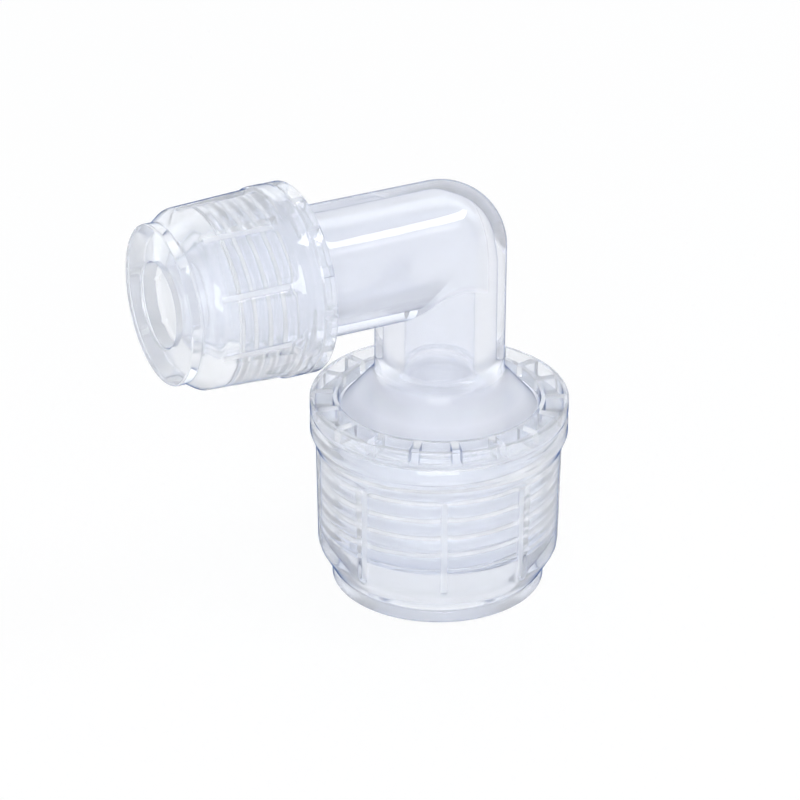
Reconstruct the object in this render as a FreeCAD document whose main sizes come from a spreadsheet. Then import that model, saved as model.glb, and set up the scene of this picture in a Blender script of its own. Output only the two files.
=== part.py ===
import FreeCAD, Part
import math
import os
import Sketcher

# Reducing union elbow: a moulded elbow with a union nut on each of its threaded ends.
# Millimetres. The origin is the centre of the large nut's end face, +Z runs up the large leg, and the small
# leg points along -X. Each nut is drawn from its own end face towards the elbow. The elbow is drawn outwards
# along both legs from the point where their axes cross.

SHEET = "sizes"
ENDS = ("small", "large")
HERE = FreeCAD.Vector(0, 0, 0)
UP = FreeCAD.Vector(0, 0, 1)

# Driving dimensions of the whole fitting: alias, value, what it is
SHARED_SIZES = [
    ("leg_radius", 10.0, "outside radius of both legs and of the rounded corner"),
    ("small_bore", 5.5, "radius of the passage in the small leg and round the corner"),
    ("large_bore", 7.9, "radius of the passage at the large end"),
    ("axis_height", 56.3, "height of the small leg's axis above the large nut's end face"),
    ("small_reach", 46.5, "distance of the small nut's end face from the large leg's axis"),
    ("bore_step_height", 33.0, "height at which the large passage starts to narrow"),
    ("bore_step_length", 4.0, "length over which it narrows to the small one"),
    ("thread_clearance", 0.08, "radial running clearance between a threaded end and its nut"),
    ("seat_offset", 2.5, "distance along the axis between a nose's cone and its nut's, for the tube's wall"),
    ("seat_slope", 0.85, "radial rise of the seat cones for each millimetre of length"),
    ("edge_bevel", 0.3, "bevel that breaks the moulded outer edges"),
]

# Driving dimensions of each end, its nut first: name, small end, large end, what it is
END_SIZES = [
    ("length", 22.2, 31.3, "length of the nut"),
    ("hole", 6.45, 9.65, "radius of the nut's hole for the tube"),
    ("hole_length", 3.4, 3.0, "straight length of that hole"),
    ("collar", 12.0, 16.65, "outside radius of the flat collar at the end face"),
    ("collar_length", 1.7, 1.9, "length of the collar"),
    ("groove_floor", 11.45, 16.3, "radius at the foot of the groove beside the collar"),
    ("groove_width", 0.45, 0.5, "width of that groove"),
    ("chamfer_foot", 12.0, 16.75, "radius at the chamfer's foot, beside the groove"),
    ("chamfer_length", 2.3, 3.8, "length of the chamfer"),
    ("chamfer_break", 0.6, 0.65, "length to each side of the bevel between the chamfer and the barrel"),
    ("barrel_end", 13.55, 18.85, "radius of the barrel at the chamfer"),
    ("barrel_ring", 14.1, 19.12, "radius of the barrel at the ring"),
    ("ring", 14.4, 20.0, "outside radius of the ring at the open end"),
    ("ring_length", 4.9, 5.7, "length of the ring"),
    ("taper_length", 0.5, 2.2, "length of the taper between the barrel and the ring"),
    ("notch_depth", 0.15, 0.3, "depth of the notch round the ring"),
    ("notch_width", 0.9, 1.6, "width of that notch"),
    ("notch_offset", 2.2, 2.9, "distance of the notch's middle from the open end"),
    ("mouth", 11.6, 15.7, "radius of the ring's mouth"),
    ("mouth_depth", 3.6, 4.1, "depth of the mouth"),
    ("thread", 10.5, 14.75, "mean radius of the nut's thread"),
    ("thread_start", 7.9, 8.6, "distance of the thread from the nut's end face"),
    ("thread_lead", 0.9, 0.8, "length of the bevel between the mouth and the thread"),
    ("pocket_count", 14, 18, "number of moulded pockets in the ring's face"),
    ("pocket_inner", 12.2, 16.45, "inner radius of the pockets"),
    ("pocket_outer", 13.75, 19.2, "outer radius of the pockets"),
    ("pocket_share", 0.76, 0.78, "share of each pocket's pitch that is open"),
    ("pocket_depth", 1.6, 2.3, "depth of the pockets"),
    ("flute_count", 9, 9, "number of shallow flutes along the barrel"),
    ("flute_radius", 1.6, 2.0, "radius of the round section that a flute is cut with"),
    ("flute_depth", 0.22, 0.28, "depth of a flute at the barrel's thin end"),
    ("flute_phase", 12.0, 4.7, "angle of the first flute, in degrees"),
    ("nose_base", 8.2, 12.4, "radius of the elbow's nose behind its cone"),
    ("nose_tip", 6.3, 8.9, "outside radius at the nose's tip"),
    ("nose_length", 4.1, 6.6, "length of the nose, from its tip to the threaded end's shoulder"),
    ("shoulder_bevel", 0.9, 1.1, "bevel at the start of the threaded end"),
    ("stub_collar", 11.15, 15.2, "radius of the plain collar between the thread and the leg"),
    ("stub_collar_length", 1.6, 1.6, "length of that collar"),
    ("stub_cone_length", 2.2, 6.0, "length of the cone from the collar to the leg"),
    ("stub_cone_inset", 0.9, 1.9, "depth of the collar's start inside the nut's open end"),
    ("leg_fillet", 1.2, 3.5, "fillet between the leg and that cone"),
]


class Size:
    """A size from the sheet, or a sum of such sizes: its number, and the text that binds a feature to it."""

    def __init__(self, number, text):
        self.number = number
        self.text = text

    def joined(self, other, sign, number):
        text = other.text if isinstance(other, Size) else str(other)
        return Size(number, f"({self.text} {sign} {text})")

    def __add__(self, other):
        return self.joined(other, "+", self.number + number_of(other))

    def __sub__(self, other):
        return self.joined(other, "-", self.number - number_of(other))

    def __mul__(self, other):
        return self.joined(other, "*", self.number * number_of(other))

    def __truediv__(self, other):
        return self.joined(other, "/", self.number / number_of(other))


def number_of(size):
    """The plain number of a size, or of a number."""
    return size.number if isinstance(size, Size) else size


NONE = Size(0.0, "0")


class Sizes:
    """The sheet's sizes by name, those of one end where an end is given."""

    def __init__(self, sheet, end=""):
        self.sheet = sheet
        self.prefix = f"{end}_" if end else ""

    def __getattr__(self, name):
        alias = self.prefix + name
        return Size(float(self.sheet.get(alias)), f"{SHEET}.{alias}")


def fill_sheet(doc):
    """Writes the driving dimensions to the sheet, one to a row, each with its alias."""
    sheet = doc.addObject("Spreadsheet::Sheet", SHEET)
    rows = list(SHARED_SIZES)
    for index, end in enumerate(ENDS):
        for name, *numbers, meaning in END_SIZES:
            rows.append((f"{end}_{name}", numbers[index], f"{end} end: {meaning}"))
    for row, (alias, number, meaning) in enumerate(rows, start=1):
        sheet.set(f"A{row}", meaning)
        sheet.set(f"B{row}", str(number))
        sheet.setAlias(f"B{row}", alias)
    doc.recompute()
    return sheet


def origin_feature(body, role):
    """The body's own origin plane or axis of that role."""
    return next(feature for feature in body.Origin.OriginFeatures if feature.Role == role)


def new_sketch(body, name, role):
    """An empty sketch on one of the body's origin planes."""
    sketch = body.newObject("Sketcher::SketchObject", name)
    sketch.AttachmentSupport = [(origin_feature(body, role), "")]
    sketch.MapMode = "FlatFace"
    return sketch


def hold(sketch, constraint, size):
    """Adds a constraint and binds it to a size."""
    index = sketch.addConstraint(constraint)
    sketch.setExpression(f"Constraints[{index}]", size.text)


def corner_arc(before, here, after, radius):
    """The arc that rounds a corner, its first and last point on the way, and whether it turns left."""
    back, ahead = (before - here).normalize(), (after - here).normalize()
    half = back.getAngle(ahead) / 2
    trim = radius / math.tan(half)
    middle = here + (back + ahead).normalize() * (radius / math.sin(half))
    first, last = here + back * trim, here + ahead * trim
    left = ahead.cross(back).z > 0
    start, end = (first, last) if left else (last, first)
    angles = [math.atan2(point.y - middle.y, point.x - middle.x) for point in (start, end)]
    return Part.ArcOfCircle(Part.Circle(middle, UP, radius), *angles), first, last, left


def outline(body, name, corners):
    """A closed outline in the body's XZ plane. A corner is its X, its Z and, where it is rounded, a radius."""
    sketch = new_sketch(body, name, "XZ_Plane")
    points = [FreeCAD.Vector(x.number, z.number, 0) for x, z, *rounding in corners]
    ways = [(point, point) for point in points]
    arcs = {}
    for index, (x, z, *rounding) in enumerate(corners):
        if rounding:
            before, after = points[index - 1], points[(index + 1) % len(points)]
            arc, first, last, left = corner_arc(before, points[index], after, rounding[0].number)
            arcs[index] = (arc, left)
            ways[index] = (first, last)
    for index, (first, last) in enumerate(ways):
        sketch.addGeometry(Part.LineSegment(last, ways[(index + 1) % len(ways)][0]))
    for index, (x, z, *rounding) in enumerate(corners):
        came, place = (index - 1) % len(corners), (index, 1)
        if rounding:
            arc, left = arcs[index]
            curve = sketch.addGeometry(arc)
            place = (sketch.addGeometry(Part.Point(points[index]), True), 1)
            sketch.addConstraint(Sketcher.Constraint("Tangent", came, 2, curve, 1 if left else 2))
            sketch.addConstraint(Sketcher.Constraint("Tangent", index, 1, curve, 2 if left else 1))
            sketch.addConstraint(Sketcher.Constraint("PointOnObject", *place, came))
            sketch.addConstraint(Sketcher.Constraint("PointOnObject", *place, index))
            hold(sketch, Sketcher.Constraint("Radius", curve, rounding[0].number), rounding[0])
        else:
            sketch.addConstraint(Sketcher.Constraint("Coincident", came, 2, index, 1))
        for kind, size, axis in (("DistanceX", x, -2), ("DistanceY", z, -1)):
            if size is NONE:
                sketch.addConstraint(Sketcher.Constraint("PointOnObject", *place, axis))
            else:
                hold(sketch, Sketcher.Constraint(kind, -1, 1, *place, size.number), size)
    return sketch


def turned(body, kind, name, sketch, axis):
    """A whole Revolution or Groove of the sketch about one of its own axes."""
    feature = body.newObject(f"PartDesign::{kind}", name)
    feature.Profile = sketch
    feature.ReferenceAxis = (sketch, [axis])
    feature.Angle = 360
    return feature


def repeated(body, name, original, count):
    """The original repeated round the body's upright axis."""
    pattern = body.newObject("PartDesign::PolarPattern", name)
    pattern.Originals = [original]
    pattern.Axis = (origin_feature(body, "Z_Axis"), [""])
    pattern.Angle = 360
    pattern.setExpression("Occurrences", count.text)
    body.Tip = pattern
    return pattern


class Cuts:
    """Watches the body's volume, so that a cut that takes nothing off stops the build."""

    def __init__(self, doc, body):
        self.doc = doc
        self.body = body
        doc.recompute()
        self.volume = body.Shape.Volume

    def check(self, name):
        self.doc.recompute()
        volume = self.body.Shape.Volume
        if volume > self.volume - 0.01:
            raise RuntimeError(f"{name} cuts nothing")
        self.volume = volume


def nut_corners(own, shared):
    """The nut's section, from the tube's hole at the end face round the outside to the hole again."""
    groove = own.collar_length + own.groove_width
    barrel = groove + own.chamfer_length
    ring = own.length - own.ring_length
    notch = own.length - own.notch_offset
    mouth = own.length - own.mouth_depth
    break_drop = own.chamfer_break * (own.barrel_end - own.chamfer_foot) / own.chamfer_length
    cone_rise = (own.thread_start - own.hole_length) * shared.seat_slope
    return [
        (own.hole, NONE),
        (own.collar - shared.edge_bevel, NONE),
        (own.collar, shared.edge_bevel),
        (own.collar, own.collar_length - shared.edge_bevel),
        (own.collar - shared.edge_bevel, own.collar_length),
        (own.groove_floor, own.collar_length + own.groove_width / 2),
        (own.chamfer_foot, groove),
        (own.barrel_end - break_drop, barrel - own.chamfer_break),
        (own.barrel_end, barrel + own.chamfer_break),
        (own.barrel_ring, ring - own.taper_length),
        (own.ring, ring),
        (own.ring, notch - own.notch_width / 2),
        (own.ring - own.notch_depth, notch),
        (own.ring, notch + own.notch_width / 2),
        (own.ring, own.length - shared.edge_bevel),
        (own.ring - shared.edge_bevel, own.length),
        (own.mouth, own.length),
        (own.mouth, mouth),
        (own.thread, mouth - own.thread_lead),
        (own.thread, own.thread_start),
        (own.hole + cone_rise, own.thread_start),
        (own.hole, own.hole_length),
    ]


def pocket_outline(body, end, own):
    """One pocket in the ring's face: a sector between two radii, with sides that point at the axis."""
    sketch = new_sketch(body, f"{end}_pocket_outline", "XY_Plane")
    sketch.setExpression("AttachmentOffset.Base.z", own.length.text)
    half = own.pocket_share * 180 / own.pocket_count
    angle = math.radians(half.number)
    arms = [FreeCAD.Vector(math.cos(turn), math.sin(turn), 0) for turn in (-angle, angle)]
    radii = (own.pocket_inner, own.pocket_outer)
    for radius in radii:
        sketch.addGeometry(Part.ArcOfCircle(Part.Circle(HERE, UP, radius.number), -angle, angle))
    for arm in arms:
        sketch.addGeometry(Part.LineSegment(arm * radii[0].number, arm * radii[1].number))
    for arc, radius in enumerate(radii):
        sketch.addConstraint(Sketcher.Constraint("Coincident", arc, 3, -1, 1))
        hold(sketch, Sketcher.Constraint("Radius", arc, radius.number), radius)
        for side, line in ((1, 2), (2, 3)):
            sketch.addConstraint(Sketcher.Constraint("Coincident", line, arc + 1, arc, side))
    for line in (2, 3):
        sketch.addConstraint(Sketcher.Constraint("PointOnObject", -1, 1, line))
    sketch.addConstraint(Sketcher.Constraint("Symmetric", 1, 1, 1, 2, -1))
    hold(sketch, Sketcher.Constraint("Angle", -1, 1, 3, 1, angle), half)
    return sketch


def flute_outline(body, end, own):
    """The round section of one flute, seen along the nut's axis."""
    sketch = new_sketch(body, f"{end}_flute_outline", "XY_Plane")
    sketch.setExpression("AttachmentOffset.Base.z", (own.collar_length + own.groove_width).text)
    away = own.barrel_end + own.flute_radius - own.flute_depth
    turn = math.radians(own.flute_phase.number)
    centre = FreeCAD.Vector(math.cos(turn), math.sin(turn), 0) * away.number
    sketch.addGeometry(Part.Circle(centre, UP, own.flute_radius.number))
    sketch.addGeometry(Part.LineSegment(HERE, centre), True)
    sketch.addConstraint(Sketcher.Constraint("Coincident", 1, 1, -1, 1))
    sketch.addConstraint(Sketcher.Constraint("Coincident", 1, 2, 0, 3))
    hold(sketch, Sketcher.Constraint("Radius", 0, own.flute_radius.number), own.flute_radius)
    hold(sketch, Sketcher.Constraint("Distance", 1, away.number), away)
    hold(sketch, Sketcher.Constraint("Angle", -1, 1, 1, 1, turn), own.flute_phase)
    return sketch


def union_nut(doc, sheet, end):
    """One union nut: its turned section, the pockets in its ring's face and the flutes on its barrel."""
    own, shared = Sizes(sheet, end), Sizes(sheet)
    body = doc.addObject("PartDesign::Body", f"{end}_union_nut")
    body.Label = f"{end}_union_nut"
    section = outline(body, f"{end}_nut_section", nut_corners(own, shared))
    turned(body, "Revolution", f"{end}_nut_turned", section, "V_Axis")

    cuts = Cuts(doc, body)
    pocket = body.newObject("PartDesign::Pocket", f"{end}_pocket")
    pocket.Profile = pocket_outline(body, end, own)
    pocket.setExpression("Length", own.pocket_depth.text)
    cuts.check("the first pocket")
    repeated(body, f"{end}_pockets", pocket, own.pocket_count)
    cuts.check("the other pockets")

    barrel_length = own.length - own.ring_length - own.taper_length - own.collar_length - own.groove_width
    flute = body.newObject("PartDesign::Pocket", f"{end}_flute")
    flute.Profile = flute_outline(body, end, own)
    flute.Reversed = True
    flute.setExpression("Length", barrel_length.text)
    cuts.check("the first flute")
    repeated(body, f"{end}_flutes", flute, own.flute_count)
    cuts.check("the other flutes")
    return body


class Leg:
    """One leg of the elbow. Its places are distances from the point where the two axes cross."""

    def __init__(self, sheet, end):
        own, shared = Sizes(sheet, end), Sizes(sheet)
        self.end = end
        self.own = own
        self.shared = shared
        self.level = end == "small"
        self.face = shared.small_reach if self.level else shared.axis_height
        self.bore = shared.small_bore if self.level else shared.large_bore
        self.sketch_axis = "H_Axis" if self.level else "V_Axis"
        self.collar_start = self.face - own.length + own.stub_cone_inset
        self.cone_start = self.collar_start - own.stub_cone_length
        self.collar_end = self.collar_start + own.stub_collar_length
        seat_tip = self.face - own.hole_length - shared.seat_offset
        self.tip = seat_tip - (own.nose_tip - own.hole) / shared.seat_slope
        self.nose_start = self.tip - (own.nose_base - own.nose_tip) / shared.seat_slope
        self.shoulder = self.tip - own.nose_length

    def laid(self, corners):
        """Corners given as radius, distance and rounding, with the sketch's X and Z for this leg first."""
        if self.level:
            return [(far, radius, *rest) for radius, far, *rest in corners]
        return corners

    def outside(self):
        """The solid leg's section, from the crossing to the nose's tip."""
        own, shared = self.own, self.shared
        thread = own.thread - shared.thread_clearance
        return self.laid([
            (NONE, NONE),
            (shared.leg_radius, NONE),
            (shared.leg_radius, self.cone_start, own.leg_fillet),
            (own.stub_collar, self.collar_start),
            (own.stub_collar, self.collar_end),
            (thread, self.collar_end),
            (thread, self.shoulder - own.shoulder_bevel),
            (thread - own.shoulder_bevel, self.shoulder),
            (own.nose_base, self.shoulder),
            (own.nose_base, self.nose_start),
            (own.nose_tip, self.tip),
            (NONE, self.tip),
        ])

    def passage(self):
        """The passage's section. The large end's own wide bore narrows to the bore of the small leg."""
        narrow = self.shared.small_bore
        corners = [(NONE, NONE), (narrow, NONE)]
        if not self.level:
            wide_from = self.shared.axis_height - self.shared.bore_step_height
            corners += [(narrow, wide_from - self.shared.bore_step_length), (self.bore, wide_from)]
        corners += [(self.bore, self.tip), (NONE, self.tip)]
        return self.laid(corners)


def corner_ball(body, kind, name, radius):
    """A ball where the two axes cross, added for the rounded corner or cut for the passage."""
    ball = body.newObject(f"PartDesign::{kind}", name)
    ball.setExpression("Radius", radius.text)
    return ball


def elbow(doc, sheet):
    """The moulded elbow, solid first and then bored."""
    shared = Sizes(sheet)
    body = doc.addObject("PartDesign::Body", "elbow_body")
    body.Label = "elbow_body"
    legs = [Leg(sheet, end) for end in ENDS]
    corner_ball(body, "AdditiveSphere", "outer_corner", shared.leg_radius)
    for leg in legs:
        section = outline(body, f"{leg.end}_leg_section", leg.outside())
        turned(body, "Revolution", f"{leg.end}_leg", section, leg.sketch_axis)

    cuts = Cuts(doc, body)
    corner_ball(body, "SubtractiveSphere", "inner_corner", shared.small_bore)
    cuts.check("the passage's corner")
    for leg in legs:
        section = outline(body, f"{leg.end}_passage_section", leg.passage())
        turned(body, "Groove", f"{leg.end}_passage", section, leg.sketch_axis)
        cuts.check(f"the {leg.end} passage")
    return body


def placed(elbow_body, nuts, sheet):
    """Turns each piece from its own frame to the fitting's: the legs point down and along -X."""
    shared = Sizes(sheet)
    across = FreeCAD.Vector(0, 1, 0)
    elbow_body.Placement = FreeCAD.Placement(HERE, FreeCAD.Rotation(across, 180))
    elbow_body.setExpression("Placement.Base.z", shared.axis_height.text)
    small = nuts["small"]
    small.Placement = FreeCAD.Placement(HERE, FreeCAD.Rotation(across, 90))
    small.setExpression("Placement.Base.x", (NONE - shared.small_reach).text)
    small.setExpression("Placement.Base.z", shared.axis_height.text)


def check(doc, parts):
    """Stops the build on a failed object, or a piece that isn't one valid solid."""
    for item in doc.Objects:
        if "Invalid" in item.State or "Error" in item.State:
            raise RuntimeError(f"{item.Label} failed: {item.State}")
    for part in parts:
        shape = part.Shape
        if shape.isNull() or not shape.isValid() or len(shape.Solids) != 1:
            raise RuntimeError(f"{part.Label} isn't one valid solid")


def main():
    """Builds the three pieces, places them, checks them and writes their files."""
    doc = FreeCAD.newDocument("reducing_elbow")
    sheet = fill_sheet(doc)
    elbow_body = elbow(doc, sheet)
    nuts = {end: union_nut(doc, sheet, end) for end in ENDS}
    placed(elbow_body, nuts, sheet)
    doc.recompute()
    parts = [elbow_body, *nuts.values()]
    check(doc, parts)
    os.makedirs("parts", exist_ok=True)
    for part in parts:
        part.Shape.exportStep(f"parts/{part.Label}.step")
        print(f"{part.Label}: {part.Shape.Volume:.0f} cubic mm")


main()
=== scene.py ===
import logging
import math
from dataclasses import dataclass
from enum import Enum
from typing import Any, Sequence

import bmesh
import bpy
import numpy as np
from mathutils import Matrix, Vector


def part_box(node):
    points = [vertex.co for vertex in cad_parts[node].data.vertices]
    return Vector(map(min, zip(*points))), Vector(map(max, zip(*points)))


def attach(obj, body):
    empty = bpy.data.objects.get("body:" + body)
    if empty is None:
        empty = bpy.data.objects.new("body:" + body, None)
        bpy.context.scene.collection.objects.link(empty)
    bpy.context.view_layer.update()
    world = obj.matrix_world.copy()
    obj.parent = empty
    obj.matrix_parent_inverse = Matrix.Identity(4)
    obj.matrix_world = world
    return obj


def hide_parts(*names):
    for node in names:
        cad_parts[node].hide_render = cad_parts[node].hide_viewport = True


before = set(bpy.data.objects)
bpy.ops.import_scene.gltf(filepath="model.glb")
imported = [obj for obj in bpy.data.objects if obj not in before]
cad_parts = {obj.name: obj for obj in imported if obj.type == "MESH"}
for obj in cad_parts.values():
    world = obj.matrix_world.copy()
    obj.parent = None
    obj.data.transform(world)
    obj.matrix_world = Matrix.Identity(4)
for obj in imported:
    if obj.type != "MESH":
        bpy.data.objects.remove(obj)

LOG = logging.getLogger("reducing_elbow")
MM = 0.001
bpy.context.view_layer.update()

# How far a nut's columns crowd together at its flutes, from 0 for not at all to 1.
CROWDING = 0.6
# The least angle of an edge that stays sharp, in degrees.
SHARP_ANGLE = 38.0
# The largest share of a side that a rounded corner may take, and the step of its arc in degrees.
CORNER_SHARE = 0.48
ARC_STEP = 15
# The length over which a thread rises to its full height, in millimetres, and the rows of faces in a pitch.
THREAD_RISE = 0.8
THREAD_ROWS = 13
# Where the elbow's rows lie between its corner and the leg after it, as shares of that length.
ROWS_BY_CORNER = (0.0, 0.33, 0.66)
# The slack in telling walls apart, in millimetres, and the slack for rounding errors in any unit.
SLACK = 0.01
ROUNDING = 1e-6

Colour = tuple[float, float, float]


class Value:
    """A number or vector socket of a node tree. Sums on it add Math nodes."""

    def __init__(self, graph: "Graph", socket: bpy.types.NodeSocket) -> None:
        """Keeps the graph that the socket belongs to.

        Args:
            graph: The graph that new nodes go into.
            socket: The output socket that carries the value.
        """
        self.graph = graph
        self.socket = socket

    def math(self, operation: str, *others: Any) -> "Value":
        """Adds a Math node on this value.

        Args:
            operation: The Math node's operation.
            others: The values or numbers of its other sockets.

        Returns:
            The result.
        """
        inputs = dict(enumerate((self, *others)))
        return self.graph.add("ShaderNodeMath", {"operation": operation}, inputs, "Value")

    def __add__(self, other: Any) -> "Value":
        """This value plus another."""
        return self.math("ADD", other)

    def __sub__(self, other: Any) -> "Value":
        """This value less another."""
        return self.math("SUBTRACT", other)

    def __rsub__(self, other: Any) -> "Value":
        """Another value less this one."""
        return (self * -1.0) + other

    def __mul__(self, other: Any) -> "Value":
        """This value times another."""
        return self.math("MULTIPLY", other)

    def __truediv__(self, other: Any) -> "Value":
        """This value over another."""
        return self.math("DIVIDE", other)

    def __rtruediv__(self, other: Any) -> "Value":
        """Another value over this one."""
        return self.math("POWER", -1.0) * other

    def clamped(self) -> "Value":
        """This value kept between 0 and 1."""
        return self.math("MAXIMUM", 0.0).math("MINIMUM", 1.0)

    __radd__ = __add__
    __rmul__ = __mul__


class Graph:
    """A node tree under construction."""

    def __init__(self, tree: bpy.types.NodeTree) -> None:
        """Starts from a tree.

        Args:
            tree: The shader or geometry tree that nodes are added to.
        """
        self.tree = tree

    def add(self, kind: str, settings: dict[str, Any], inputs: dict[Any, Any], output: Any) -> Value:
        """Adds one node of any kind.

        Args:
            kind: The node's type.
            settings: Its settings, set before its sockets.
            inputs: The values or links of its sockets, by name or by place.
            output: The name or place of the socket to return.

        Returns:
            The chosen output.
        """
        node = self.tree.nodes.new(kind)
        for name, setting in settings.items():
            setattr(node, name, setting)
        for name, value in inputs.items():
            if isinstance(value, Value):
                self.tree.links.new(value.socket, node.inputs[name])
            else:
                node.inputs[name].default_value = value
        return Value(self, node.outputs[output])

    def attribute(self, name: Any, kind: str = "FLOAT") -> Value:
        """Reads a named attribute of the mesh."""
        return self.add("GeometryNodeInputNamedAttribute", {"data_type": kind}, {"Name": name}, "Attribute")

    def pushed(self, geometry: Value, direction: Value, amount: Value) -> Value:
        """Moves every point along a direction.

        Args:
            geometry: The geometry to move.
            direction: The direction at each point.
            amount: How far it moves.

        Returns:
            The moved geometry.
        """
        offset = self.add("ShaderNodeVectorMath", {"operation": "SCALE"}, {0: direction, "Scale": amount}, 0)
        return self.add("GeometryNodeSetPosition", {}, {"Geometry": geometry, "Offset": offset}, "Geometry")


class Form:
    """A Geometry Nodes tree with named inputs, whose result becomes a plain mesh."""

    def __init__(self, name: str, sizes: Sequence[str], words: Sequence[str] = ()) -> None:
        """Makes the tree's sockets.

        Args:
            name: The tree's name.
            sizes: Names of its number inputs.
            words: Names of its text inputs.
        """
        self.tree = bpy.data.node_groups.new(name, "GeometryNodeTree")
        sockets = [("Geometry", "NodeSocketGeometry"), ("Material", "NodeSocketMaterial")]
        sockets += [(size, "NodeSocketFloat") for size in sizes]
        sockets += [(word, "NodeSocketString") for word in words]
        for socket, kind in sockets:
            self.tree.interface.new_socket(socket, in_out="INPUT", socket_type=kind)
        self.tree.interface.new_socket("Geometry", in_out="OUTPUT", socket_type="NodeSocketGeometry")
        self.graph = Graph(self.tree)
        self.source = self.tree.nodes.new("NodeGroupInput")

    def input(self, name: str) -> Value:
        """One of the tree's inputs."""
        return Value(self.graph, self.source.outputs[name])

    def end(self, geometry: Value) -> None:
        """Ends the tree with real geometry in its material.

        Args:
            geometry: The finished geometry.
        """
        real = self.graph.add("GeometryNodeRealizeInstances", {}, {"Geometry": geometry}, "Geometry")
        inputs = {"Geometry": real, "Material": self.input("Material")}
        dressed = self.graph.add("GeometryNodeSetMaterial", {}, inputs, "Geometry")
        target = self.tree.nodes.new("NodeGroupOutput")
        self.tree.links.new(dressed.socket, target.inputs["Geometry"])

    def applied(self, mesh: bpy.types.Mesh, values: dict[str, Any]) -> bpy.types.Mesh:
        """Runs the tree on a mesh.

        Args:
            mesh: The mesh to shape.
            values: The tree's inputs by name.

        Returns:
            A new plain mesh.
        """
        holder = bpy.data.objects.new(mesh.name, mesh)
        bpy.context.scene.collection.objects.link(holder)
        modifier = holder.modifiers.new(self.tree.name, "NODES")
        modifier.node_group = self.tree
        for item in self.tree.interface.items_tree:
            if item.in_out == "INPUT" and item.name in values:
                modifier[item.identifier] = values[item.name]
        bpy.context.view_layer.update()
        graph = bpy.context.evaluated_depsgraph_get()
        result = bpy.data.meshes.new_from_object(
            holder.evaluated_get(graph), preserve_all_data_layers=True, depsgraph=graph
        )
        holder.modifiers.remove(modifier)
        bpy.data.objects.remove(holder)
        return result


def thread_form() -> Form:
    """Builds the tree that raises a round wall into a screw thread.

    Returns:
        The finished tree.
    """
    form = Form("screw_thread", ("Pitch", "Height", "Flatness", "Bias"), ("Zone",))
    graph = form.graph
    phase = graph.attribute("along") / form.input("Pitch") - graph.attribute("turns")
    wave = (phase * math.tau).math("SINE") * form.input("Flatness")
    wave = wave.math("MINIMUM", 1.0).math("MAXIMUM", -1.0) + form.input("Bias")
    height = wave * form.input("Height") * graph.attribute(form.input("Zone"))
    form.end(graph.pushed(form.input("Geometry"), graph.attribute("outward", "FLOAT_VECTOR"), height))
    return form


def nut_form() -> Form:
    """Builds the tree that cuts a nut's flutes and moulds the pockets into its ring.

    Returns:
        The finished tree.
    """
    flutes = ("Flutes", "Flute Phase", "Flute Radius", "Flute Centre", "Flute Start", "Flute End")
    pockets = ("Pockets", "Pocket Share", "Pocket Inner", "Pocket Outer", "Pocket Face", "Pocket Depth")
    form = Form("union_nut", (*flutes, "Flute Fade", *pockets))
    graph, size = form.graph, form.input

    along, radius = graph.attribute("along"), graph.attribute("radius")
    turn = (graph.attribute("round") * size("Flutes") - size("Flute Phase") + 0.5).math("FRACT") - 0.5
    angle = turn / size("Flutes") * math.tau
    across = angle.math("SINE") * size("Flute Centre")
    under = size("Flute Radius") * size("Flute Radius") - across * across
    floor = size("Flute Centre") * angle.math("COSINE") - under.math("MAXIMUM", 0.0).math("SQRT")
    inside = under.math("GREATER_THAN", 0.0)
    for near in (along - size("Flute Start"), size("Flute End") - along):
        inside *= (near / size("Flute Fade")).clamped()
    depth = (floor - radius).math("MINIMUM", 0.0) * inside
    fluted = graph.pushed(size("Geometry"), graph.attribute("outward", "FLOAT_VECTOR"), depth)

    span = (graph.attribute("face_round") * size("Pockets") + 0.5).math("FRACT") - 0.5
    face_radius = graph.attribute("face_radius")
    chosen = span.math("ABSOLUTE").math("LESS_THAN", size("Pocket Share") / 2.0)
    chosen *= face_radius.math("GREATER_THAN", size("Pocket Inner"))
    chosen *= face_radius.math("LESS_THAN", size("Pocket Outer"))
    chosen *= graph.attribute("face_along").math("LESS_THAN", size("Pocket Face"))
    inward = {0: graph.attribute("inward", "FLOAT_VECTOR"), "Scale": size("Pocket Depth")}
    offset = graph.add("ShaderNodeVectorMath", {"operation": "SCALE"}, inward, 0)
    inputs = {"Mesh": fluted, "Selection": chosen, "Offset": offset, "Offset Scale": 1.0}
    inputs["Individual"] = False
    form.end(graph.add("GeometryNodeExtrudeMesh", {"mode": "FACES"}, inputs, "Mesh"))
    return form


@dataclass(frozen=True)
class PaintedShadeAndLightBand:
    """The heights of a band of painted shade or painted light on a moulding, in metres, and how its plastic
    looks there.
    """

    top: float = 0.0
    foot: float = -0.1
    fade: float = 0.005
    colour: Colour = (0.9, 0.93, 0.98)
    haze: float = 0.0
    shade: float = 0.0

    def share(self, height: Value) -> Value:
        """How far a height is inside the zone, from 0 to 1."""
        near = ((self.top - height) / self.fade).math("MINIMUM", (height - self.foot) / self.fade)
        return near.clamped()


@dataclass(frozen=True)
class PaintedLightWall:
    """A round wall that is made milkier than the rest of its moulding as painted light, in metres.

    It lies between two radii and two places along its axis. The axis stands upright, or runs along -X at the
    height of the level axis.
    """

    outer: float
    inner: float
    start: float
    end: float
    fade: float
    haze: float
    level_axis: float | None = None

    def share(self, x: Value, y: Value, z: Value) -> Value:
        """How far a point is inside the zone.

        Args:
            x: The point's place along X.
            y: Its place along Y.
            z: Its height.

        Returns:
            The share, from 0 to 1.
        """
        side, along = (x, z) if self.level_axis is None else (z - self.level_axis, x * -1.0)
        radius = (side * side + y * y).math("SQRT")
        share = ((self.outer - radius) / self.fade).clamped() * radius.math("GREATER_THAN", self.inner)
        return share * along.math("GREATER_THAN", self.start) * along.math("LESS_THAN", self.end)


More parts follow.
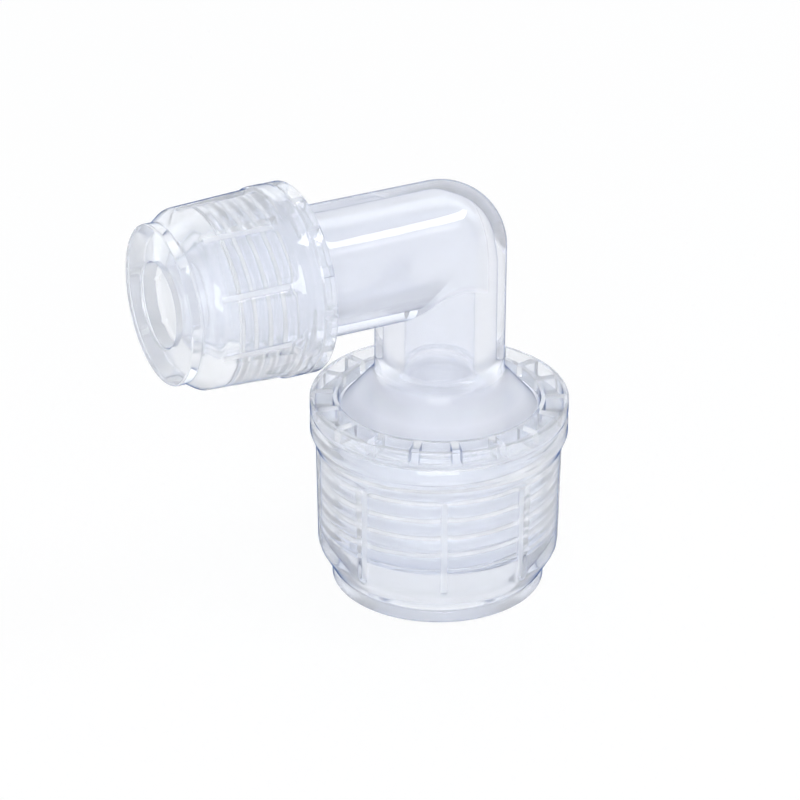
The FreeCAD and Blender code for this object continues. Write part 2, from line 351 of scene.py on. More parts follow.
@dataclass(frozen=True)
class Moulding:
    """The clear plastic of one kind of piece: glossy outside, milky inside and darkened at grazing angles by
    painted shade.
    """

    name: str
    # A round wall made milkier as painted light.
    wall: PaintedLightWall
    # A band of heights with painted shade or painted light.
    painted_band: PaintedShadeAndLightBand = PaintedShadeAndLightBand()
    colour: Colour = (0.962, 0.976, 1.0)
    haze_colour: Colour = (0.982, 0.988, 1.0)
    haze_low: float = 0.15
    haze_high: float = 0.2
    chalk_share: float = 0.5
    # Painted shade: the dark glass mixed in at grazing angles, drawing dark outlines.
    edge_shade_colour: Colour = (0.06, 0.14, 0.34)
    edge_power: float = 9.0
    edge_gain: float = 2.2
    refraction: float = 1.49
    gloss_low: float = 0.03
    gloss_high: float = 0.08
    ripple: float = 0.02
    grain: float = 260.0
    ripple_grain: float = 65.0

    def material(self) -> bpy.types.Material:
        """Builds the material's nodes.

        Returns:
            The finished material.
        """
        material = bpy.data.materials.new(self.name)
        material.use_nodes = True
        tree = material.node_tree
        graph = Graph(tree)
        shader = next(node for node in tree.nodes if node.type == "BSDF_PRINCIPLED")
        shader.inputs["Transmission Weight"].default_value = 1.0
        shader.inputs["IOR"].default_value = self.refraction

        place = graph.add("ShaderNodeTexCoord", {}, {}, "Object")
        cloud = graph.add("ShaderNodeTexNoise", {}, {"Vector": place, "Scale": self.grain, "Detail": 3.0}, 0)
        waves = {"Vector": place, "Scale": self.ripple_grain, "Detail": 2.0}
        flow = graph.add("ShaderNodeTexNoise", {}, waves, 0)
        gloss = cloud * (self.gloss_high - self.gloss_low) + self.gloss_low
        tree.links.new(gloss.socket, shader.inputs["Roughness"])
        bumps = {"Strength": self.ripple, "Distance": MM, "Height": flow}
        tree.links.new(graph.add("ShaderNodeBump", {}, bumps, "Normal").socket, shader.inputs["Normal"])

        x, y, z = (graph.add("ShaderNodeSeparateXYZ", {}, {0: place}, axis) for axis in "XYZ")
        # Painted shade or painted light: the band's colour darkens the large nut low down and lightens the
        # elbow below 37 mm.
        painted_band = self.painted_band.share(z)
        colours = {0: painted_band, 6: (*self.colour, 1.0), 7: (*self.painted_band.colour, 1.0)}
        tint = graph.add("ShaderNodeMix", {"data_type": "RGBA"}, colours, 2)
        tree.links.new(tint.socket, shader.inputs["Base Color"])

        milk = graph.add("ShaderNodeBsdfTranslucent", {}, {"Color": (*self.haze_colour, 1.0)}, 0)
        chalk = graph.add("ShaderNodeBsdfDiffuse", {}, {"Color": (*self.haze_colour, 1.0)}, 0)
        haze = graph.add("ShaderNodeMixShader", {}, {0: self.chalk_share, 1: milk, 2: chalk}, 0)
        # Painted light: extra milk in the elbow's lower band, round its level bore and on the nuts' flute
        # floors.
        milkier = (painted_band * self.painted_band.haze).math("MAXIMUM", self.wall.share(x, y, z) * self.wall.haze)
        amount = flow * (self.haze_high - self.haze_low) + self.haze_low + milkier
        clear = Value(graph, shader.outputs[0])
        milky = graph.add("ShaderNodeMixShader", {}, {0: amount, 1: clear, 2: haze}, 0)

        # Painted shade: dark blue glass mixed in where the surface is seen edge-on.
        inputs = {"Color": (*self.edge_shade_colour, 1.0), "Roughness": self.gloss_high, "IOR": self.refraction}
        dark = graph.add("ShaderNodeBsdfGlass", {}, inputs, 0)
        facing = graph.add("ShaderNodeLayerWeight", {}, {"Blend": 0.5}, "Facing")
        edge = (facing.math("POWER", self.edge_power) * self.edge_gain).math("MINIMUM", 1.0)
        # Painted shade: the large nut's band also mixes in the dark glass.
        edge = edge.math("MAXIMUM", painted_band * self.painted_band.shade)
        mixed = graph.add("ShaderNodeMixShader", {}, {0: edge, 1: milky, 2: dark}, 0)
        tree.links.new(mixed.socket, tree.nodes["Material Output"].inputs["Surface"])
        return material


SMALL_NUT_PLASTIC = Moulding(
    name="small_nut_plastic",
    # Painted light: the flute floors are milkier, drawing them as light upright lines.
    wall=PaintedLightWall(
        outer=0.01342, inner=0.013, start=0.0297, end=0.0418, fade=0.00006, haze=0.2, level_axis=0.0563
    ),
    haze_low=0.17,
    haze_high=0.24,
)

LARGE_NUT_PLASTIC = Moulding(
    name="large_nut_plastic",
    # Painted light: the flute floors are milkier, drawing them as light upright lines.
    wall=PaintedLightWall(outer=0.01867, inner=0.018, start=0.0065, end=0.0232, fade=0.00006, haze=0.15),
    # Painted shade: darker, bluer plastic and dark glass in the large nut from 2.2 mm to 11.5 mm high.
    painted_band=PaintedShadeAndLightBand(top=0.0115, foot=0.0022, fade=0.0008, colour=(0.84, 0.87, 0.93), shade=0.055),
)

ELBOW_PLASTIC = Moulding(
    name="elbow_plastic",
    # Painted light: the level leg's bore and the plastic round it are milkier, lightening what is seen
    # through that leg.
    wall=PaintedLightWall(outer=0.0075, inner=0.0, start=-0.004, end=0.1, fade=0.001, haze=0.3, level_axis=0.0563),
    # Painted light: the elbow is lighter and milkier below 37 mm.
    painted_band=PaintedShadeAndLightBand(top=0.037, colour=(0.93, 0.94, 0.968), haze=0.3),
    colour=(0.9, 0.916, 0.958),
    haze_colour=(0.925, 0.93, 0.958),
    haze_low=0.17,
    haze_high=0.23,
    edge_gain=1.4,
)


@dataclass(frozen=True)
class TurnAxis:
    """A line that round shapes are turned about."""

    origin: Vector
    along: Vector
    start: Vector
    side: Vector

    @property
    def sense(self) -> float:
        """1 where a turn from start to side is right-handed about the line, or else -1."""
        return 1.0 if self.start.cross(self.side).dot(self.along) > 0 else -1.0


@dataclass(frozen=True)
class Corner:
    """A corner of a round shape's section, in millimetres."""

    radius: float
    along: float
    rounding: float = 0.0
    step: float = 1.2


def section_points(corners: Sequence[Corner], closed: bool) -> list[tuple[float, float]]:
    """Rounds a section's corners and divides its long sides.

    Args:
        corners: The section's corners in order.
        closed: Whether the last corner joins the first.

    Returns:
        Pairs of radius and distance in millimetres.
    """
    points: list[tuple[np.ndarray, float]] = []
    count = len(corners)
    for index, corner in enumerate(corners):
        here = np.array((corner.radius, corner.along))
        has_neighbours = closed or 0 < index < count - 1
        if corner.rounding == 0 or not has_neighbours:
            points.append((here, corner.step))
            continue
        before = corners[index - 1]
        after = corners[(index + 1) % count]
        back = np.array((before.radius, before.along)) - here
        ahead = np.array((after.radius, after.along)) - here
        reach = CORNER_SHARE * min(np.linalg.norm(back), np.linalg.norm(ahead))
        back, ahead = back / np.linalg.norm(back), ahead / np.linalg.norm(ahead)
        half = math.acos(max(-1.0, min(1.0, float(back @ ahead)))) / 2
        trim = min(reach, corner.rounding / math.tan(half))
        radius = trim * math.tan(half)
        middle = here + (back + ahead) / np.linalg.norm(back + ahead) * (radius / math.sin(half))
        first, end = here + back * trim - middle, here + ahead * trim - middle
        sweep = math.pi - 2 * half
        pieces = max(2, math.ceil(math.degrees(sweep) / ARC_STEP))
        for piece in range(pieces + 1):
            share = piece / pieces
            turned = math.sin((1 - share) * sweep) * first + math.sin(share * sweep) * end
            points.append((middle + turned / math.sin(sweep), corner.step))
    outline: list[tuple[float, float]] = []
    for index, (point, step) in enumerate(points):
        outline.append((float(point[0]), float(point[1])))
        if index == len(points) - 1 and not closed:
            break
        ahead = points[(index + 1) % len(points)][0]
        parts = math.ceil(float(np.linalg.norm(ahead - point)) / step - ROUNDING)
        for part in range(1, parts):
            between = point + (ahead - point) * (part / parts)
            outline.append((float(between[0]), float(between[1])))
    return outline


@dataclass(frozen=True)
class Thread:
    """A screw thread on a round wall, in millimetres along its leg's axis."""

    name: str
    start: float
    end: float
    pitch: float
    height: float
    flatness: float
    bias: float

    def share(self, along: float) -> float:
        """How fully the thread is raised at a place, from 0 outside it to 1 a short way in."""
        return max(0.0, min(1.0, (along - self.start) / THREAD_RISE, (self.end - along) / THREAD_RISE))

    def values(self, material: bpy.types.Material) -> dict[str, Any]:
        """The thread tree's inputs for this thread.

        Args:
            material: The threaded piece's material.

        Returns:
            Each input's value by name.
        """
        return {
            "Pitch": self.pitch * MM,
            "Height": self.height * MM,
            "Flatness": self.flatness,
            "Bias": self.bias,
            "Zone": self.name,
            "Material": material,
        }


def angles_round(columns: int, flutes: int = 0, phase: float = 0.0) -> np.ndarray:
    """Spaces columns round an axis, closer together at a nut's flutes.

    Args:
        columns: The number of columns.
        flutes: The number of flutes, or 0 for even columns.
        phase: The first flute's angle, in radians.

    Returns:
        Each column's angle, in radians.
    """
    even = np.linspace(0, math.tau, columns, endpoint=False)
    if flutes == 0:
        return even
    return even - CROWDING / flutes * np.sin(flutes * (even - phase))


class RingMesh:
    """A mesh made of rings of points, each joined to the next and the last to the first."""

    def __init__(self, angles: np.ndarray, threads: Sequence[str]) -> None:
        """Starts an empty mesh.

        Args:
            angles: The angle of each point of a ring, in radians.
            threads: Names of the threads that the mesh will carry.
        """
        self.columns = len(angles)
        self.angles = angles
        self.rings: list[np.ndarray] = []
        self.outward: list[np.ndarray] = []
        keys = ("along", "turns", "radius", *threads)
        self.numbers: dict[str, list[np.ndarray]] = {key: [] for key in keys}

    def ring(self, places: np.ndarray, outward: np.ndarray, **numbers: Any) -> None:
        """Adds one ring.

        Args:
            places: Its points, in metres.
            outward: The direction away from the axis at each point.
            numbers: Values for the whole ring, or for each point. What is left out is 0.
        """
        self.rings.append(places)
        self.outward.append(outward)
        for key, values in self.numbers.items():
            values.append(np.broadcast_to(np.asarray(numbers.get(key, 0.0), dtype=float), self.columns))

    def turned(
        self, axis: TurnAxis, points: Sequence[tuple[float, float]], thread: Thread | None = None
    ) -> None:
        """Adds rings turned about an axis.

        Args:
            axis: The axis.
            points: Pairs of radius and distance, in millimetres.
            thread: A thread on these rings.
        """
        outward = np.outer(np.cos(self.angles), axis.start) + np.outer(np.sin(self.angles), axis.side)
        turns = self.angles / math.tau * axis.sense
        for radius, along in points:
            centre = np.array(axis.origin) + np.array(axis.along) * along * MM
            marks = {thread.name: thread.share(along)} if thread else {}
            place = centre + outward * radius * MM
            self.ring(place, outward, along=along * MM, turns=turns, radius=radius * MM, **marks)

    def mesh(self, name: str) -> bpy.types.Mesh:
        """Joins the rings.

        Args:
            name: The mesh's name.

        Returns:
            The mesh, with the attributes that the trees read.
        """
        rows, columns = len(self.rings), self.columns
        index = np.arange(rows * columns).reshape(rows, columns)
        below, right = np.roll(index, -1, axis=0), np.roll(index, -1, axis=1)
        across = np.roll(below, -1, axis=1)
        faces = np.stack((index, right, across, below), axis=-1).reshape(-1, 4)
        mesh = bpy.data.meshes.new(name)
        mesh.from_pydata(np.concatenate(self.rings).tolist(), [], faces.tolist())
        numbers = {key: np.array(values) for key, values in self.numbers.items()}
        numbers["round"] = np.tile(self.angles / math.tau, (rows, 1))
        for key, values in numbers.items():
            mesh.attributes.new(key, "FLOAT", "POINT").data.foreach_set("value", values.ravel())
        outward = np.concatenate(self.outward).ravel()
        mesh.attributes.new("outward", "FLOAT_VECTOR", "POINT").data.foreach_set("vector", outward)
        next_round = np.roll(numbers["round"], -1, axis=1)
        next_round[:, -1] += 1.0
        middle = {
            "face_along": (numbers["along"] + np.roll(numbers["along"], -1, axis=0)) / 2,
            "face_radius": (numbers["radius"] + np.roll(numbers["radius"], -1, axis=0)) / 2,
            "face_round": (numbers["round"] + next_round) / 2,
        }
        for key, values in middle.items():
            mesh.attributes.new(key, "FLOAT", "FACE").data.foreach_set("value", values.ravel())
        return mesh


def closed_up(mesh: bpy.types.Mesh) -> bpy.types.Mesh:
    """Merges doubled points, turns the faces outwards and smooths all but the sharp edges.

    Args:
        mesh: The mesh to finish.

    Returns:
        The same mesh.
    """
    work = bmesh.new()
    work.from_mesh(mesh)
    bmesh.ops.remove_doubles(work, verts=work.verts, dist=ROUNDING)
    bmesh.ops.recalc_face_normals(work, faces=work.faces)
    work.to_mesh(mesh)
    work.free()
    mesh.shade_smooth()
    mesh.set_sharp_from_angle(angle=math.radians(SHARP_ANGLE))
    return mesh


def shown(name: str, mesh: bpy.types.Mesh, body: str, node: str) -> bpy.types.Object:
    """Shows a finished mesh in place of its CAD node.

    Args:
        name: The piece's name.
        mesh: Its mesh.
        body: The body that it rides on.
        node: The CAD node that it stands for.

    Returns:
        The new object.
    """
    piece = bpy.data.objects.new(name, mesh)
    bpy.context.scene.collection.objects.link(piece)
    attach(piece, body)
    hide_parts(node)
    LOG.info("%s: %d faces", name, len(mesh.polygons))
    return piece


class End(Enum):
    """The elbow's two ends, each with the name of its nut."""

    SMALL = "small_union_nut"
    LARGE = "large_union_nut"


@dataclass(frozen=True)
class Leg:
    """One leg: its axis from where both axes meet, and its nut's end face along it in millimetres."""

    axis: TurnAxis
    face: float


def legs() -> dict[End, Leg]:
    """Reads both legs' places from the CAD model's small nut.

    Returns:
        Each end's leg.
    """
    low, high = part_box(End.SMALL.value)
    height = (low[2] + high[2]) / 2
    meeting = Vector((0.0, 0.0, height))
    across, up, ahead = Vector((0, 1, 0)), Vector((0, 0, 1)), Vector((1, 0, 0))
    return {
        End.SMALL: Leg(TurnAxis(meeting, -ahead, up, across), -low[0] / MM),
        End.LARGE: Leg(TurnAxis(meeting, -up, ahead, across), height / MM),
    }


@dataclass(frozen=True)
class UnionNut:
    """A moulded union nut, in millimetres. Lengths are measured from its end face towards the elbow."""

    end: End
    body: str
    columns: int
    length: float
    hole: float
    hole_length: float
    collar: float
    collar_length: float
    groove_floor: float
    groove_width: float
    chamfer_foot: float
    chamfer_length: float
    chamfer_round: float
    barrel_end: float
    barrel_ring: float
    ring: float
    ring_length: float
    taper_length: float
    notch_depth: float
    notch_width: float
    notch_offset: float
    mouth: float
    mouth_depth: float
    thread_mean: float
    thread_height: float
    thread_flatness: float
    thread_start: float
    thread_lead: float
    pitch: float
    pockets: int
    pocket_inner: float
    pocket_outer: float
    pocket_share: float
    pocket_depth: float
    flutes: int
    flute_radius: float
    flute_depth: float
    flute_phase: float
    flute_fade: float = 1.4
    seat_slope: float = 0.85
    edge_round: float = 0.35

    def corners(self) -> list[Corner]:
        """The nut's section, as distances from its end face.

        Returns:
            Its corners, from the hole's outer edge round the outside and back through the thread.
        """
        groove = self.collar_length + self.groove_width
        barrel = groove + self.chamfer_length
        ring = self.length - self.ring_length
        notch = self.length - self.notch_offset
        mouth = self.length - self.mouth_depth
        root = self.thread_mean + self.thread_height
        rise = (self.thread_start - self.hole_length) * self.seat_slope
        edge = self.edge_round
        return [
            Corner(self.hole, 0.0, 0.3),
            Corner(self.collar, 0.0, edge),
            Corner(self.collar, self.collar_length, edge),
            Corner(self.groove_floor, self.collar_length + self.groove_width / 2, 0.1),
            Corner(self.chamfer_foot, groove, 0.2, 0.5),
            Corner(self.barrel_end, barrel, self.chamfer_round, 0.7),
            Corner(self.barrel_ring, ring - self.taper_length, 0.8, 0.5),
            Corner(self.ring, ring, 0.6),
            Corner(self.ring, notch - self.notch_width / 2, 0.3),
            Corner(self.ring - self.notch_depth, notch, 0.3),
            Corner(self.ring, notch + self.notch_width / 2, 0.3),
            Corner(self.ring, self.length, edge),
            Corner(self.pocket_outer, self.length),
            Corner(self.pocket_inner, self.length),
            Corner(self.mouth, self.length, 0.25),
            Corner(self.mouth, mouth, 0.3),
            Corner(root, mouth - self.thread_lead, 0.0, self.pitch / THREAD_ROWS),
            Corner(root, self.thread_start, 0.0),
            Corner(self.hole + rise, self.thread_start, 0.3),
            Corner(self.hole, self.hole_length, 0.4),
        ]

    def build(self, leg: Leg, trees: dict[str, Form], finish: Moulding) -> bpy.types.Object:
        """Makes the nut.

        Args:
            leg: The leg that the nut is on.
            trees: The trees for threads and nuts.
            finish: The plastic.

        Returns:
            The nut.
        """
        material = finish.material()
        outline = [(radius, leg.face - place) for radius, place in section_points(self.corners(), True)]
        mouth = leg.face - self.length + self.mouth_depth + self.thread_lead
        end = leg.face - self.thread_start
        thread = Thread("thread", mouth, end, self.pitch, self.thread_height, self.thread_flatness, -1.0)
        angles = angles_round(self.columns, self.flutes, math.radians(self.flute_phase))
        rings = RingMesh(angles, ("thread",))
        wall = self.thread_mean + self.thread_height + SLACK
        for radius, along in outline:
            inside = radius < wall and mouth - SLACK < along < end + SLACK
            rings.turned(leg.axis, [(radius, along)], thread if inside else None)
        mesh = rings.mesh(self.end.value)
        inward = np.tile(np.array(leg.axis.along), len(mesh.vertices))
        mesh.attributes.new("inward", "FLOAT_VECTOR", "POINT").data.foreach_set("vector", inward)
        mesh = trees["thread"].applied(mesh, thread.values(material))
        mesh = closed_up(trees["nut"].applied(mesh, self.values(leg, material)))
        return shown(f"{self.end.value}_clear", mesh, self.body, self.end.value)

    def values(self, leg: Leg, material: bpy.types.Material) -> dict[str, Any]:
        """The nut tree's inputs.

        Args:
            leg: The leg that the nut is on.
            material: The nut's material.

        Returns:
            Each input's value by name.
        """
        middle = self.barrel_end + self.flute_radius - self.flute_depth
        return {
            "Flutes": float(self.flutes),
            "Flute Phase": self.flute_phase / 360.0 * self.flutes,
            "Flute Radius": self.flute_radius * MM,
            "Flute Centre": middle * MM,
            "Flute Start": (leg.face - self.length + self.ring_length + self.taper_length) * MM,
            "Flute End": (leg.face - self.collar_length - self.groove_width) * MM,
            "Flute Fade": self.flute_fade * MM,
            "Pockets": float(self.pockets),
            "Pocket Share": self.pocket_share,
            "Pocket Inner": self.pocket_inner * MM,
            "Pocket Outer": self.pocket_outer * MM,
            "Pocket Face": (leg.face - self.length) * MM + ROUNDING,
            "Pocket Depth": self.pocket_depth * MM,
            "Material": material,
        }


SMALL_NUT = UnionNut(
    end=End.SMALL,
    body="small_nut",
    columns=378,
    length=22.2,
    hole=6.45,
    hole_length=3.4,
    collar=12.0,
    collar_length=1.7,
    groove_floor=11.45,
    groove_width=0.45,
    chamfer_foot=12.0,
    chamfer_length=2.3,
    chamfer_round=2.0,
    barrel_end=13.55,
    barrel_ring=14.1,
    ring=14.4,
    ring_length=4.9,
    taper_length=0.5,
    notch_depth=0.15,
    notch_width=0.9,
    notch_offset=2.2,
    mouth=11.6,
    mouth_depth=3.6,
    thread_mean=10.5,
    thread_height=0.35,
    thread_flatness=1.0,
    thread_start=7.9,
    thread_lead=0.9,
    pitch=2.3,
    pockets=14,
    pocket_inner=12.2,
    pocket_outer=13.75,
    pocket_share=0.76,
    pocket_depth=1.6,
    flutes=9,
    flute_radius=1.6,
    flute_depth=0.22,
    flute_phase=12.0,
)

LARGE_NUT = UnionNut(
    end=End.LARGE,
    body="large_nut",
    columns=360,
    length=31.3,
    hole=9.65,
    hole_length=3.0,
    collar=16.65,
    collar_length=1.9,
    groove_floor=16.3,
    groove_width=0.5,
    chamfer_foot=16.75,
    chamfer_length=3.8,
    chamfer_round=2.6,
    barrel_end=18.85,
    barrel_ring=19.12,
    ring=20.0,
    ring_length=5.7,
    taper_length=2.2,
    notch_depth=0.3,
    notch_width=1.6,
    notch_offset=2.9,
    mouth=15.7,
    mouth_depth=4.1,
    thread_mean=14.8,
    thread_height=0.45,
    thread_flatness=1.05,
    thread_start=8.6,
    thread_lead=0.8,
    pitch=3.0,
    pockets=18,
    pocket_inner=16.45,
    pocket_outer=19.2,
    pocket_share=0.78,
    pocket_depth=2.3,
    flutes=9,
    flute_radius=2.0,
    flute_depth=0.28,
    flute_phase=4.7,
)


@dataclass(frozen=True)
class ThreadedEnd:
    """One threaded end of the elbow, in millimetres. Lengths run from the nose's tip back to the leg."""

    thread_mean: float
    nose_base: float
    nose_tip: float
    nose_length: float
    shoulder_bevel: float
    collar: float
    collar_length: float
    cone_length: float
    cone_inset: float
    leg_fillet: float
    bore: float


@dataclass(frozen=True)
class ElbowBody:
    """The moulded elbow, in millimetres."""

    ends: dict[End, ThreadedEnd]
    leg_radius: float = 10.0
    bore: float = 5.5
    step_start: float = 23.3
    step_length: float = 4.0
    step_round: float = 1.5
    seat_offset: float = 2.5
    seat_slope: float = 0.85
    clearance: float = 0.1
    columns: int = 240
    corner_rows: int = 20
    row_gap: float = 0.4

    def places(self, nut: UnionNut, leg: Leg) -> dict[str, float]:
        """Distances of an end's features from where both axes meet.

        Args:
            nut: The end's nut.
            leg: The end's leg.

        Returns:
            The distances by name.
        """
        end = self.ends[nut.end]
        collar = leg.face - nut.length + end.cone_inset
        tip = leg.face - nut.hole_length - self.seat_offset - (end.nose_tip - nut.hole) / self.seat_slope
        return {
            "cone": collar - end.cone_length,
            "collar": collar,
            "thread": collar + end.collar_length,
            "shoulder": tip - end.nose_length,
            "nose": tip - (end.nose_base - end.nose_tip) / self.seat_slope,
            "tip": tip,
        }

    def outside(self, nut: UnionNut, leg: Leg) -> tuple[list[tuple[float, float]], Thread]:
        """An end's outer section, from the corner to the nose's tip.

        Args:
            nut: The end's nut.
            leg: The end's leg.

        Returns:
            The section's points, and the thread on it.
        """
        end, place = self.ends[nut.end], self.places(nut, leg)
        root = nut.thread_mean - self.clearance - nut.thread_height
        start, stop = place["thread"], place["shoulder"] - end.shoulder_bevel
        corners = [
            Corner(self.leg_radius, self.leg_radius + self.row_gap),
            Corner(self.leg_radius, place["cone"], end.leg_fillet),
            Corner(end.collar, place["collar"], 0.35),
            Corner(end.collar, start, 0.15),
            Corner(root, start, 0.0, nut.pitch / THREAD_ROWS),
            Corner(root, stop),
            Corner(root - end.shoulder_bevel, place["shoulder"], 0.2),
            Corner(end.nose_base, place["shoulder"], 0.3),
            Corner(end.nose_base, place["nose"], 0.3),
            Corner(end.nose_tip, place["tip"], 0.3),
            Corner(end.bore, place["tip"]),
        ]
        thread = Thread(
            f"{nut.body}_thread", start, stop, nut.pitch, nut.thread_height, nut.thread_flatness, 1.0
        )
        return section_points(corners, False), thread

    def passage(self, nut: UnionNut, leg: Leg) -> list[tuple[float, float]]:
        """An end's bore, from the nose's tip to the corner.

        Args:
            nut: The end's nut.
            leg: The end's leg.

        Returns:
            The section's points.
        """
        end, tip = self.ends[nut.end], self.places(nut, leg)["tip"]
        corners = [Corner(end.bore, tip - self.row_gap)]
        if end.bore != self.bore:
            corners += [
                Corner(end.bore, self.step_start, self.step_round),
                Corner(self.bore, self.step_start - self.step_length, self.step_round),
            ]
        corners.append(Corner(self.bore, self.bore + self.row_gap))
        return section_points(corners, False)

    def corner(self, rings: RingMesh, first: TurnAxis, second: TurnAxis, radius: float) -> None:
        """Adds the rings between the legs, which make a mitre inside and a quarter ball outside.

        Args:
            rings: The mesh to add them to.
            first: The leg that the rings come from.
            second: The leg that they go on to.
            radius: The radius of both legs there.
        """
        cosine, sine = np.cos(rings.angles)[:, None], np.sin(rings.angles)[:, None]
        outer = cosine >= -ROUNDING
        for axis, order in ((first, ROWS_BY_CORNER[::-1]), (second, ROWS_BY_CORNER)):
            outward = cosine * np.array(axis.start) + sine * np.array(axis.side)
            reach = np.where(outer, 0.0, -cosine * radius)
            rows = []
            for share in order:
                along = reach + (radius + self.row_gap - reach) * share
                rows.append(np.array(axis.origin) + (outward * radius + along * np.array(axis.along)) * MM)
            if axis is second:
                for row in range(1, self.corner_rows):
                    turn = math.pi / 2 * row / self.corner_rows
                    lean = math.cos(turn) * np.array(first.start) + math.sin(turn) * np.array(second.start)
                    mitre = np.array(first.start) + np.array(second.start)
                    way = np.where(outer, cosine * lean, cosine * mitre) + sine * np.array(axis.side)
                    rings.ring(np.array(axis.origin) + way * radius * MM, way)
            for row in rows:
                rings.ring(row, outward)

    def build(self, nuts: Sequence[UnionNut], places: dict[End, Leg], tree: Form, finish: Moulding) -> None:
        """Makes the elbow.

        Args:
            nuts: The small nut and the large one.
            places: Both legs.
            tree: The tree for threads.
            finish: The plastic.
        """
        small, large = nuts
        small_leg, large_leg = places[small.end], places[large.end]
        small_out, small_thread = self.outside(small, small_leg)
        large_out, large_thread = self.outside(large, large_leg)
        rings = RingMesh(angles_round(self.columns), (small_thread.name, large_thread.name))
        rings.turned(large_leg.axis, large_out[::-1], large_thread)
        self.corner(rings, large_leg.axis, small_leg.axis, self.leg_radius)
        rings.turned(small_leg.axis, small_out, small_thread)
        rings.turned(small_leg.axis, self.passage(small, small_leg))
        self.corner(rings, small_leg.axis, large_leg.axis, self.bore)
        rings.turned(large_leg.axis, self.passage(large, large_leg)[::-1])
        material = finish.material()
        mesh = rings.mesh("elbow_body")
        for thread in (small_thread, large_thread):
            mesh = tree.applied(mesh, thread.values(material))
        shown("elbow_body_clear", closed_up(mesh), "elbow", "elbow_body")


ELBOW = ElbowBody(
    ends={
        End.SMALL: ThreadedEnd(
            thread_mean=10.42,
            nose_base=8.2,
            nose_tip=6.3,
            nose_length=4.1,
            shoulder_bevel=0.7,
            collar=11.15,
            collar_length=1.6,
            cone_length=2.2,
            cone_inset=0.9,
            leg_fillet=1.2,
            bore=5.5,
        ),
        End.LARGE: ThreadedEnd(
            thread_mean=14.67,
            nose_base=12.4,
            nose_tip=8.9,
            nose_length=6.6,
            shoulder_bevel=0.8,
            collar=15.2,
            collar_length=1.6,
            cone_length=6.0,
            cone_inset=1.9,
            leg_fillet=3.5,
            bore=7.9,
        ),
    },
)


@dataclass(frozen=True)
class Lamp:
    """A rectangular soft lamp that faces the fitting, in metres."""

    name: str
    place: tuple[float, float, float]
    width: float
    height: float
    watts: float


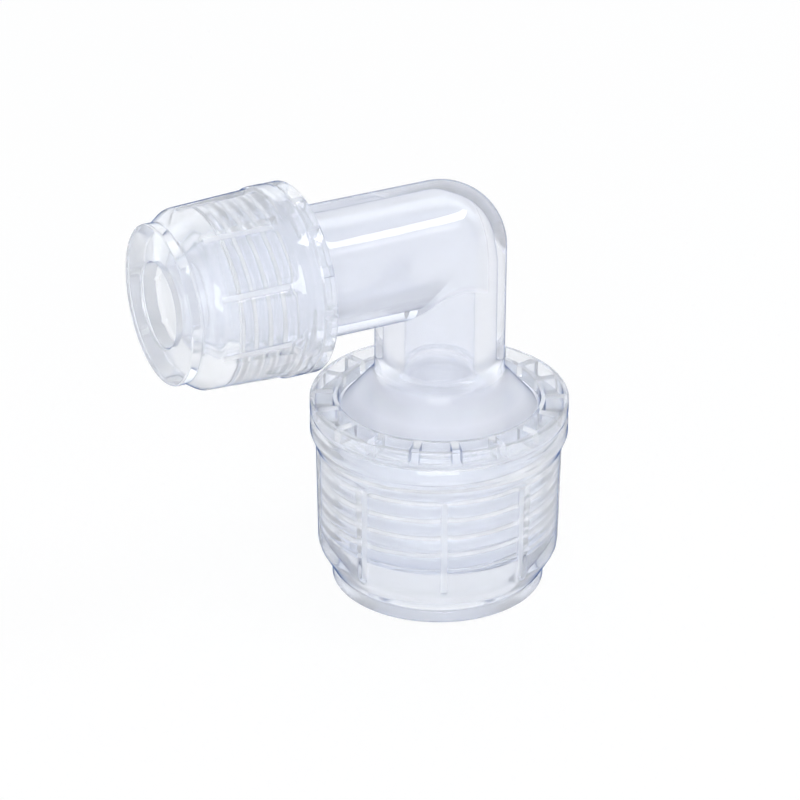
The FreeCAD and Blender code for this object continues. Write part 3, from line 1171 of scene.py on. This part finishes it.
@dataclass(frozen=True)
class Studio:
    """The pale floor, the soft lamps and the camera."""

    azimuth: float = -27.57
    elevation: float = 27.1
    roll: float = 0.22
    distance: float = 0.5
    lens: float = 145.62
    aim: tuple[float, float, float] = (0.0, 0.0, 0.03)
    shift_right: float = -0.00605
    shift_up: float = 0.0001
    sky_level: float = 1.52
    sky_above: float = 0.7
    side_shade: float = 0.4
    side_start: float = 0.55
    side_run: float = 0.3
    sky_colour: Colour = (0.94, 0.967, 1.0)
    floor_colour: Colour = (0.9, 0.9, 0.9)
    floor_reach: float = 6.0
    floor_drop: float = 0.0001
    floor_glow: float = 0.9
    bounces: int = 32
    lamp_aim: tuple[float, float, float] = (0.0, 0.0, 0.035)
    lamps: tuple[Lamp, ...] = (
        Lamp("key", (0.345, -0.215, 0.69), 0.3, 0.1, 0.9),
        Lamp("fill", (-0.35, -0.65, 0.3), 0.5, 0.4, 2.6),
        Lamp("rim", (0.31, 0.59, 0.36), 0.5, 0.3, 0.1),
    )

    def camera(self) -> None:
        """Places the camera at the photographed angle."""
        turn, lift, roll = (math.radians(angle) for angle in (self.azimuth, self.elevation, self.roll))
        right = Vector((math.cos(turn), math.sin(turn), 0.0))
        back = Vector((math.sin(turn) * math.cos(lift), -math.cos(turn) * math.cos(lift), math.sin(lift)))
        up = back.cross(right)
        level = right.copy()
        right = math.cos(roll) * level + math.sin(roll) * up
        up = math.cos(roll) * up - math.sin(roll) * level
        data = bpy.data.cameras.new("camera")
        data.lens, data.sensor_width = self.lens, 36.0
        data.clip_start, data.clip_end = 0.01, 20.0
        camera = bpy.data.objects.new("camera", data)
        place = Vector(self.aim) + self.shift_right * right + self.shift_up * up + self.distance * back
        camera.matrix_world = Matrix.Translation(place) @ Matrix((right, up, back)).transposed().to_4x4()
        bpy.context.scene.collection.objects.link(camera)
        bpy.context.scene.camera = camera

    def light(self) -> None:
        """Places the lamps and the even light round them."""
        for lamp in self.lamps:
            data = bpy.data.lights.new(lamp.name, "AREA")
            data.shape, data.energy = "RECTANGLE", lamp.watts
            data.size, data.size_y = lamp.width, lamp.height
            holder = bpy.data.objects.new(lamp.name, data)
            holder.location = lamp.place
            way = Vector(self.lamp_aim) - holder.location
            holder.rotation_mode = "QUATERNION"
            holder.rotation_quaternion = way.to_track_quat("-Z", "Y")
            bpy.context.scene.collection.objects.link(holder)
        world = bpy.data.worlds.new("room")
        world.use_nodes = True
        background = world.node_tree.nodes["Background"]
        background.inputs["Color"].default_value = (*self.sky_colour, 1.0)
        graph = Graph(world.node_tree)
        way = graph.add("ShaderNodeTexCoord", {}, {}, "Generated")
        lift = graph.add("ShaderNodeSeparateXYZ", {}, {0: way}, "Z").math("MAXIMUM", 0.0)
        strength = lift * (self.sky_above - self.sky_level) + self.sky_level
        turn = math.radians(self.azimuth)
        across = {0: way, 1: (math.cos(turn), math.sin(turn), 0.0)}
        beside = graph.add("ShaderNodeVectorMath", {"operation": "DOT_PRODUCT"}, across, "Value")
        beside = ((beside.math("ABSOLUTE") - self.side_start) / self.side_run).clamped()
        strength *= 1.0 - beside * self.side_shade
        world.node_tree.links.new(strength.socket, background.inputs["Strength"])
        bpy.context.scene.world = world

    def light_paths(self) -> None:
        """Lets light pass through all walls of the clear plastic, with no blur added on its way."""
        cycles = bpy.context.scene.cycles
        cycles.max_bounces = cycles.transmission_bounces = cycles.glossy_bounces = self.bounces
        cycles.diffuse_bounces = self.bounces // 2
        cycles.blur_glossy = 0.0

    def floor(self) -> None:
        """Lays the pale floor."""
        mesh = bpy.data.meshes.new("floor")
        reach = self.floor_reach
        corners = [(-reach, -reach, 0), (reach, -reach, 0), (reach, reach, 0), (-reach, reach, 0)]
        mesh.from_pydata(corners, [], [(0, 1, 2, 3)])
        floor = bpy.data.objects.new("floor", mesh)
        floor.location = (0.0, 0.0, -self.floor_drop)
        bpy.context.scene.collection.objects.link(floor)
        material = bpy.data.materials.new("floor_paint")
        material.use_nodes = True
        tree = material.node_tree
        graph = Graph(tree)
        paint = graph.add("ShaderNodeBsdfDiffuse", {}, {"Color": (*self.floor_colour, 1.0)}, 0)
        white = graph.add("ShaderNodeEmission", {}, {"Color": (1.0, 1.0, 1.0, 1.0), "Strength": 1.0}, 0)
        kinds = ("Camera", "Glossy", "Transmission")
        rays = (graph.add("ShaderNodeLightPath", {}, {}, f"Is {kind} Ray") for kind in kinds)
        camera, glossy, through = rays
        seen = (camera * self.floor_glow + glossy + through).math("MINIMUM", 1.0)
        mixed = graph.add("ShaderNodeMixShader", {}, {0: seen, 1: paint, 2: white}, 0)
        tree.links.new(mixed.socket, tree.nodes["Material Output"].inputs["Surface"])
        mesh.materials.append(material)


def main() -> None:
    """Builds the fitting and the studio."""
    logging.basicConfig(level=logging.INFO)
    places = legs()
    trees = {"thread": thread_form(), "nut": nut_form()}
    SMALL_NUT.build(places[End.SMALL], trees, SMALL_NUT_PLASTIC)
    LARGE_NUT.build(places[End.LARGE], trees, LARGE_NUT_PLASTIC)
    ELBOW.build((SMALL_NUT, LARGE_NUT), places, trees["thread"], ELBOW_PLASTIC)
    studio = Studio()
    studio.floor()
    studio.light()
    studio.camera()
    studio.light_paths()
    bpy.context.scene.view_settings.view_transform = "Standard"


if __name__ == "__main__":
    main()
